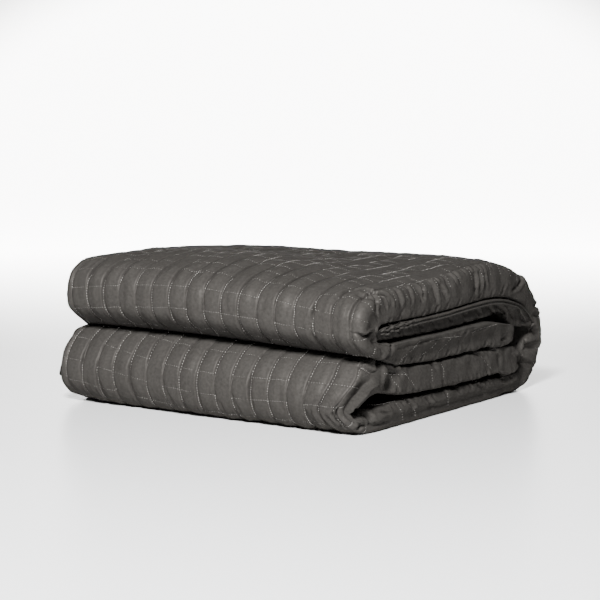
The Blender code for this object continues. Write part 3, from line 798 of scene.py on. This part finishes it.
def cloth_grid(fine, rings):
    """Places of all rings and outline points, in mm, with relief."""
    rounding = rings.rounding[:, None]
    place = fine.place[None] + fine.reach[None] * rounding[..., None]
    fullness, recess = end_shape(fine)
    past = end_margin(rounding, fullness) * (1 - recess * ramp(rounding, 0, RECESS_BY))
    inner = ~np.isin(fine.layer, ("top", "roll", "base"))
    for y, z, wide, tall, share in HOLLOWS:
        away = ((place[..., 0] - BLOCK_DEPTH / 2 - y) / wide) ** 2 + ((place[..., 1] - z) / tall) ** 2
        past *= 1 - share * inner * np.exp(-away)
    middle, reach, share = SHARP_TURN
    edge = share * (fine.layer == "roll") * bump(fine.place[:, 1] - middle, reach)
    past *= 1 - edge * (rings.side[:, None] > 0)
    for layer, (middle, slope) in TILTS.items():
        tilt = slope * (fine.layer == layer) * (middle - place[..., 1])
        past += tilt * ramp(rounding, 0, TILT_BY)
    past -= fine.inset[None] * rounding / CAP_ROUNDING
    x = rings.along[:, None] + rings.side[:, None] * past
    smooth = settle(x, place[..., 0], np.maximum(place[..., 1], 0))
    relief = end_relief(smooth, fine, rings)
    for layer in ("top", "roll"):
        here = np.flatnonzero((fine.layer == layer) & ~np.isnan(fine.row))
        column = rings.column[:, None] + np.zeros(len(here))
        row = fine.row[None, here] + np.zeros(column.shape)
        arc = np.concatenate([[0], np.cumsum(abs(np.diff(fine.row[here])))]) * CELL
        calm = ramp(np.minimum(arc, arc[-1] - arc), *SEAMLESS)
        relief[:, here] += quilting_relief(column, row, layer) * calm
    grid = smooth + grid_normals(smooth) * relief[..., None]
    grid[..., 2] = np.maximum(grid[..., 2], 0)
    return grid


def add_object(name, data):
    piece = bpy.data.objects.new(name, data)
    bpy.context.scene.collection.objects.link(piece)
    return piece


def add_mesh(name, places, faces, material, scale=MM):
    mesh = bpy.data.meshes.new(name)
    mesh.from_pydata((np.array(places) * scale).tolist(), [], faces)
    mesh.shade_smooth()
    mesh.materials.append(material)
    return add_object(name, mesh)


def edit_mesh(piece, change):
    """Runs one change over a piece's mesh."""
    work = bmesh.new()
    work.from_mesh(piece.data)
    change(work)
    work.to_mesh(piece.data)
    work.free()


def cloth_faces(fine, rings):
    """Quads where the grid is even, many-sided faces where finer points begin, and both caps."""
    level, count = fine.level, len(fine.level)
    near = abs(rings.column - FIRST_COLUMN - CELLS_LONG / 2) > CELLS_LONG / 2 - END_ZONE
    tip = rings.share > TIP_SHARE
    index = np.arange(len(rings.along) * count).reshape(-1, count)
    coarse = np.flatnonzero(level % 2 == 0)
    spans = list(zip(coarse, np.append(coarse[1:], coarse[0] + count)))
    showing = [(start, stop) for start, stop in spans
               if level[start] == 0 and level[stop % count] == 0 and 3 not in level[start:stop]]
    hidden = sorted(set(spans) - set(showing))
    faces = []

    def side(ring, span, all_points):
        """A span's points on one ring: all of them, or its two ends."""
        points = range(span[0], span[1] + 1) if all_points else span
        return [index[ring, point % count] for point in points]

    def add_quads(lines, start, stop):
        lines = np.flatnonzero(lines)
        start, stop = np.array(start) % count, np.array(stop) % count
        faces.extend(np.stack([index[lines][:, start], index[lines + 1][:, start],
                               index[lines + 1][:, stop], index[lines][:, stop]],
                              axis=-1).reshape(-1, 4).tolist())

    for lines, chosen in ((near, showing), (tip, hidden)):
        every = np.array([point for span in chosen for point in range(*span)])
        add_quads(lines[:-1] & lines[1:], every, every + 1)
    add_quads(~near[:-1] & ~near[1:], *zip(*showing))
    for ring in np.flatnonzero(near[:-1] != near[1:]):
        faces += [side(ring + 1, span, near[ring + 1]) + side(ring, span, near[ring])[::-1]
                  for span in showing]
    whole = np.flatnonzero(~tip & (abs(rings.column - np.round(rings.column)) < TINY))
    inner = np.flatnonzero(~tip)
    stops = np.concatenate([[inner[0] - 1], whole, [inner[-1] + 1]])
    for ring, next_ring in zip(stops[:-1], stops[1:]):
        for span in hidden:
            # beside a quilted face, its points on the rings between belong to the face too
            leaving, coming = ([index[between, point % count] for between in range(ring + 1, next_ring)
                                if level[point % count] == 0] for point in span)
            faces.append(leaving + side(next_ring, span, tip[next_ring]) + coming[::-1]
                         + side(ring, span, tip[ring])[::-1])
    for triangle in cap_triangles(fine):
        faces += [index[0, triangle].tolist(), index[-1, triangle[::-1]].tolist()]
    return faces


def cap_triangles(fine):
    """Triangles that close an end, found on its flat outline, where the layers stand clear."""
    work = bmesh.new()
    corners = [work.verts.new((y, z, 0.0)) for y, z in fine.place + CAP_ROUNDING * fine.reach]
    work.faces.new(corners)
    work.verts.index_update()
    work.normal_update()
    bmesh.ops.triangulate(work, faces=work.faces[:])
    triangles = [[corner.index for corner in face.verts] for face in work.faces]
    work.free()
    return triangles


def add_cloth(name, grid, fine, rings, material):
    """The cloth as one closed mesh, of the grid's points that its faces use."""
    faces = cloth_faces(fine, rings)
    used = np.unique(np.concatenate(faces))
    renumber = np.zeros(grid.shape[0] * grid.shape[1], int)
    renumber[used] = np.arange(len(used))
    faces = [renumber[face].tolist() for face in faces]
    piece = add_mesh(name, grid.reshape(-1, 3)[used], faces, material)
    edit_mesh(piece, lambda work: bmesh.ops.triangulate(
        work, faces=[face for face in work.faces if len(face.verts) > 4]))
    return piece


# ---- stitches
class Surface:
    """The finished quilted face, read by quilting column and row."""

    def __init__(self, grid, fine, rings, layer):
        here = np.flatnonzero((fine.layer == layer) & ~np.isnan(fine.row))
        self.layer, self.columns, rows = layer, rings.column, fine.row[here]
        order = np.argsort(rows)
        self.rows = rows[order]
        self.places = grid[:, here[order]]
        self.normals = grid_normals(grid)[:, here[order]]

    def read(self, field, column, row):
        i = np.clip(np.searchsorted(self.columns, column) - 1, 0, len(self.columns) - 2)
        j = np.clip(np.searchsorted(self.rows, row) - 1, 0, len(self.rows) - 2)
        s = ((column - self.columns[i]) / (self.columns[i + 1] - self.columns[i]))[:, None]
        t = ((row - self.rows[j]) / (self.rows[j + 1] - self.rows[j]))[:, None]
        near = field[i, j] * (1 - t) + field[i, j + 1] * t
        far = field[i + 1, j] * (1 - t) + field[i + 1, j + 1] * t
        return near * (1 - s) + far * s


def stitch_places(surface):
    """Column and row of every stitch, and the way it runs."""
    low, high = surface.rows[0] + ROW_EDGE, surface.rows[-1] - ROW_EDGE
    span = np.array(ROW_DRIFT[surface.layer][1])
    rows = range(math.floor(low - span.max()), math.ceil(high - span.min()) + 1)
    columns = range(FIRST_COLUMN, FIRST_COLUMN + CELLS_LONG + 1)
    shares = (np.arange(STITCHES_PER_CELL) + 0.5) / STITCHES_PER_CELL
    found = [(line, cell + share, 0, 1) for line in columns for cell in rows
             if sewn(line, cell + 0.5) for share in shares]
    found += [(cell + share, line, 1, 0) for line in rows for cell in (columns[0] - 1, *columns)
              if sewn(line, cell + 0.5) for share in shares]
    found = np.array(found)
    found[:, 1] += drift(surface.layer, found[:, 0])
    ends = surface.columns[[0, -1]]
    inside = (found[:, 1] > low) & (found[:, 1] < high)
    inside &= (found[:, 0] > ends[0] + COLUMN_EDGE) & (found[:, 0] < ends[1] - COLUMN_EDGE)
    return found[inside]


def face_threads(surface):
    """Place, direction, outward normal and radius of every stitch on a quilted face."""
    column, row, right, down = stitch_places(surface).T
    place = surface.read(surface.places, column, row)
    normal = surface.read(surface.normals, column, row)
    right, down = READ_STEP * right, READ_STEP * down
    ahead = surface.read(surface.places, column + right, row + down)
    behind = surface.read(surface.places, column - right, row - down)
    radius = STITCH_RADIUS * np.where(down > 0, COLUMN_THREAD, ROW_THREAD)
    return place, unit(ahead - behind), normal, radius


def end_threads(grid, fine, rings, side, layer, path):
    """The same, for a sewn line on one end, laid on the nearest points of its layer."""
    rounded = np.flatnonzero((rings.side == side) & (rings.share > TIP_SHARE))
    part = np.ix_(rounded, np.flatnonzero(fine.layer == layer))
    places, normals = grid[part].reshape(-1, 3), grid_normals(grid)[part].reshape(-1, 3)
    path = np.reshape(path, (-1, 2)).astype(float)
    if side < 0:
        path[:, 1] *= (1 + TALLER_AT_LEFT) / (1 - TALLER_AT_LEFT)
    at = np.arange(1.0, travelled(path)[-1], CELL / STITCHES_PER_CELL)
    spot = read_path(path, at)
    away = np.linalg.norm(places[None, :, 1:] - spot[:, None], axis=2)
    nearest = np.argsort(away, axis=1)[:, :NEIGHBOURS]
    weight = 1 / (np.take_along_axis(away, nearest, axis=1) + 0.3) ** 2
    weight = (weight / weight.sum(axis=1, keepdims=True))[..., None]
    place = (places[nearest] * weight).sum(axis=1)
    place[:, 1:] = spot
    normal = unit((normals[nearest] * weight).sum(axis=1))
    radius = np.full(len(at), END_THREAD * STITCH_RADIUS)
    return place, unit(np.gradient(place, axis=0)), normal, radius


def add_stitches(name, runs, material):
    """All stitches as one joined mesh of short threads with pointed ends."""
    vertices, faces = [], []
    sides, half = THREAD_SIDES, STITCH_LENGTH / 2
    corners = circle(sides)
    for place, along, normal, radius in runs:
        beside = unit(np.cross(normal, along))
        lean = noise(place[:, 0] * 1.3 + place[:, 2], place[:, 1] * 1.7 - place[:, 2], 31)
        along = along + beside * (STITCH_LEAN * lean)[:, None]
        place = place + normal * (STITCH_RADIUS * STITCH_RISE)
        clear = place[:, 2] > LOWEST_STITCH
        for middle, way, aside, out, thick in zip(
                *(part[clear] for part in (place, along, beside, normal, radius))):
            first = len(vertices)
            vertices.append(middle - way * half - out * STITCH_RADIUS)
            for shift in (-FULL_THREAD, FULL_THREAD):
                vertices += [middle + way * half * shift + thick * (aside * wide + out * high)
                             for wide, high in corners]
            vertices.append(middle + way * half - out * STITCH_RADIUS)
            near, far = first + 1, first + 1 + sides
            for k in range(sides):
                m = (k + 1) % sides
                faces += [(first, near + m, near + k), (near + k, near + m, far + m, far + k),
                          (far + k, far + m, far + sides)]
    return add_mesh(name, vertices, faces, material)


# ---- the inner ply's hem
def hem_path(side, offset, stop, back):
    """A hem ridge's path on one end: along the ply's top, round its tip and a little back."""
    top = [(depth, height - offset) for depth, height in slit_face(TOP_SLIT, -1)
           if HEM_START < depth < stop]
    curve = smooth_curve([*top, *back])
    at = np.arange(0, travelled(curve)[-1], HEM_STEP)
    depth, height = read_path(curve, at).T
    loose = ramp(-depth, *LOOSE_HEM)
    (deep, deep_pace), (high, high_pace), (far, far_pace) = HEM_WAVES
    depth = depth + deep * loose * np.sin(at * deep_pace)
    height = height + loose * (high * np.sin(at * high_pace + offset * 0.2) - HEM_SAG)
    for (size, length, seed), share, start in zip(HEM_NOISE, (loose, 1), (0, offset)):
        height = height + size * share * noise(at / length, at * 0 + start, seed)
    out = HALF_LENGTH + END_MARGIN - INNER_PLY_INSET + HEM_STANDS_OUT
    out = out + far * loose * np.sin(at * far_pace)
    return settle(side * out, depth, height)


def add_hem(name, side, material):
    """The ply's finished edge: two rounded ridges, each a closed length of folded cloth."""
    vertices, faces = [], []
    count = HEM_SIDES
    for offset, stop, back in HEM_RIDGES:
        path = hem_path(side, offset, stop, back)
        out = np.array([side, 0.0, 0.0])
        across = unit(np.cross(unit(np.gradient(path, axis=0)), out))
        number = np.arange(len(path))
        swell = np.minimum(1, HEM_TIP + np.minimum(number, number[::-1]) / HEM_TAPER)
        first = len(vertices)
        for k in number:
            vertices += [path[k] + swell[k] * (out * HEM_OUT * ahead + across[k] * HEM_ACROSS * aside)
                         for ahead, aside in circle(count)]
        last = len(vertices) - count
        for a in range(first, last):
            b = a + 1 if (a + 1 - first) % count else a + 1 - count
            faces.append((a, b, b + count, a + count))
        faces += [range(first + count - 1, first - 1, -1), range(last, last + count)]
    piece = add_mesh(name, vertices, faces, material)
    edit_mesh(piece, lambda work: bmesh.ops.recalc_face_normals(work, faces=work.faces))
    return piece


# ---- materials
def set_inputs(tree, node, inputs):
    """Gives each input of a node a value, or a link from another node's output."""
    for key, value in inputs.items():
        if isinstance(value, bpy.types.NodeSocket):
            tree.links.new(value, node.inputs[key])
        else:
            node.inputs[key].default_value = value


def add_node(tree, kind, inputs, **settings):
    node = tree.nodes.new("ShaderNode" + kind)
    for key, value in settings.items():
        setattr(node, key, value)
    set_inputs(tree, node, inputs)
    return node


def add_tones(tree, value, positions, dark, light):
    """A colour from dark to light by a value."""
    tones = add_node(tree, "ValToRGB", {"Fac": value})
    for element, position, colour in zip(tones.color_ramp.elements, positions, (dark, light)):
        element.position = position
        element.color = (*colour, 1)
    return tones.outputs["Color"]


def add_ramp(tree, value, start, end):
    """A value that runs smoothly between two pairs of value and result."""
    return add_node(tree, "MapRange", {
        "Value": value, "From Min": start[0], "From Max": end[0], "To Min": start[1],
        "To Max": end[1]}, interpolation_type="SMOOTHSTEP").outputs["Result"]


def node_material(name):
    """A new material, its node tree and shader, and each point's place on its own object."""
    material = bpy.data.materials.new(name)
    material.use_nodes = True
    tree = material.node_tree
    place = add_node(tree, "TexCoord", {}).outputs["Object"]
    return material, tree, tree.nodes["Principled BSDF"], place


def cloth_material():
    """Soft brushed charcoal cloth: close weave, slight mottling and a slight gloss of its own dark
    colour.
    """
    material, tree, shader, place = node_material("charcoal_cloth")
    mottle, cloud, slub = (
        add_node(tree, "TexNoise", {"Vector": place, **texture}).outputs["Fac"]
        for texture in ({"Scale": 300.0, "Detail": 4.0, "Roughness": 0.65},
                        {"Scale": 26.0, "Detail": 3.0}, {"Scale": 900.0, "Detail": 2.0}))
    mix = add_node(tree, "Mix", {"Factor": 0.2, "A": mottle, "B": cloud}, data_type="FLOAT")
    heights = add_node(tree, "Math", {0: mottle, 1: slub}, operation="ADD")
    raised = add_node(tree, "Bump", {"Strength": 0.3, "Distance": 0.0005,
                                     "Height": heights.outputs["Value"]})
    set_inputs(tree, shader, {
        "Base Color": add_tones(tree, mix.outputs["Result"], (0.34, 0.68), CLOTH_DARK, CLOTH_LIGHT),
        "Normal": raised.outputs["Normal"], "Roughness": 0.5, "Metallic": 0.28,
        "Specular IOR Level": 0.0, "Specular Tint": (0, 0, 0, 1)})
    return material


def thread_material():
    material, tree, shader, place = node_material("pale_thread")
    change = add_node(tree, "TexNoise", {"Vector": place, "Scale": 210.0, "Detail": 2.0})
    tones = add_tones(tree, change.outputs["Fac"], (0.35, 0.65), THREAD_DARK, THREAD_LIGHT)
    set_inputs(tree, shader, {"Base Color": tones, "Roughness": 0.5})
    return material


def backdrop_material():
    """Pale paper that glows by degrees towards the wall, but not far from the wall's middle."""
    material, tree, shader, place = node_material("pale_backdrop")
    parts = add_node(tree, "SeparateXYZ", {"Vector": place})
    glow = add_ramp(tree, parts.outputs["Y"], (0.3, 0.0), (2.6, WALL_GLOW))
    oval = add_node(tree, "VectorMath", {0: place, 1: WALL_OVAL}, operation="MULTIPLY")
    reach = add_node(tree, "VectorMath", {0: oval.outputs["Vector"]}, operation="LENGTH")
    wide = add_ramp(tree, reach.outputs["Value"], (1.15, 1.0), (1.6, 0.03))
    total = add_node(tree, "Math", {0: glow, 1: wide}, operation="MULTIPLY")
    set_inputs(tree, shader, {
        "Emission Strength": total.outputs["Value"], "Emission Color": (1.0, 0.99, 0.98, 1),
        "Base Color": (0.84, 0.845, 0.85, 1), "Roughness": 0.32, "Specular IOR Level": 0.35})
    return material


# ---- stage, light and camera
def add_stage():
    """A pale floor that sweeps up into a brighter wall behind.  Its sizes are in metres."""
    profile = [(FLOOR[0], 0.0), (FLOOR[1], 0.0)]
    profile += [(FLOOR[1] + SWEEP * math.sin(angle), SWEEP - SWEEP * math.cos(angle))
                for angle in np.radians(np.arange(5, 91, 5))]
    profile.append((FLOOR[1] + SWEEP, WALL_TOP))
    vertices = [(x, y, z) for y, z in profile for x in (-WALL_HALF, WALL_HALF)]
    faces = [(k, k + 1, k + 3, k + 2) for k in range(0, 2 * len(profile) - 2, 2)]
    backdrop = add_mesh("backdrop", vertices, faces, backdrop_material(), scale=1)
    backdrop.rotation_euler = (0, 0, math.radians(CAMERA_AZIMUTH))


def add_light(name, azimuth, elevation, distance, size, power):
    """An area light that faces the blanket, placed by its direction from it."""
    a, e = math.radians(azimuth), math.radians(elevation)
    data = bpy.data.lights.new(name, "AREA")
    data.shape, data.size, data.energy = "DISK", size, power
    light = add_object(name, data)
    light.location = (distance * math.sin(a) * math.cos(e), -distance * math.cos(a) * math.cos(e),
                      distance * math.sin(e) + HALF_HEIGHT)
    light.rotation_euler = (math.pi / 2 - e, 0, a)


def add_world():
    world = bpy.data.worlds.new("studio")
    world.use_nodes = True
    tree = world.node_tree
    set_inputs(tree, tree.nodes["Background"],
               {"Color": (1.0, 0.99, 0.975, 1), "Strength": WORLD_STRENGTH})
    bpy.context.scene.world = world


def add_camera():
    data = bpy.data.cameras.new("camera")
    data.sensor_width, data.lens = SENSOR_WIDTH, FOCAL_LENGTH
    data.clip_start, data.clip_end = 0.05, 50.0
    camera = add_object("camera", data)
    camera.location = CAMERA_PLACE
    camera.rotation_euler = (math.radians(90 - CAMERA_ELEVATION), 0, math.radians(CAMERA_AZIMUTH))
    bpy.context.scene.camera = camera


# ---- the whole blanket
def build_blanket():
    rings = stations()
    fine = refine(section_outline())
    grid = cloth_grid(fine, rings)
    low, high = grid.min(axis=(0, 1)), grid.max(axis=(0, 1))
    centre = (np.array(CAD_LOW) + np.array(CAD_HIGH)) / 2 / MM
    shift = np.array([*(centre - (low + high) / 2)[:2], 0.0])
    grid = grid + shift
    cloth, thread = cloth_material(), thread_material()
    body = add_cloth("blanket_cloth", grid, fine, rings, cloth)
    runs = [face_threads(Surface(grid, fine, rings, layer)) for layer in ("top", "roll")]
    runs += [end_threads(grid, fine, rings, side, layer, path)
             for side in (1, -1) for layer, paths in END_SEAMS.items() for path in paths]
    stitches = add_stitches("blanket_stitches", runs, thread)
    hems = [add_hem("hem_right", 1, cloth), add_hem("hem_left", -1, cloth)]
    for hem in hems:
        hem.location = (shift * MM).tolist()
    for piece in (body, stitches, *hems):
        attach(piece, "root")
        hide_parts("blanket")


build_blanket()
add_stage()
add_world()
add_light("key", azimuth=24, elevation=38, distance=2.4, size=0.5, power=196)
add_camera()
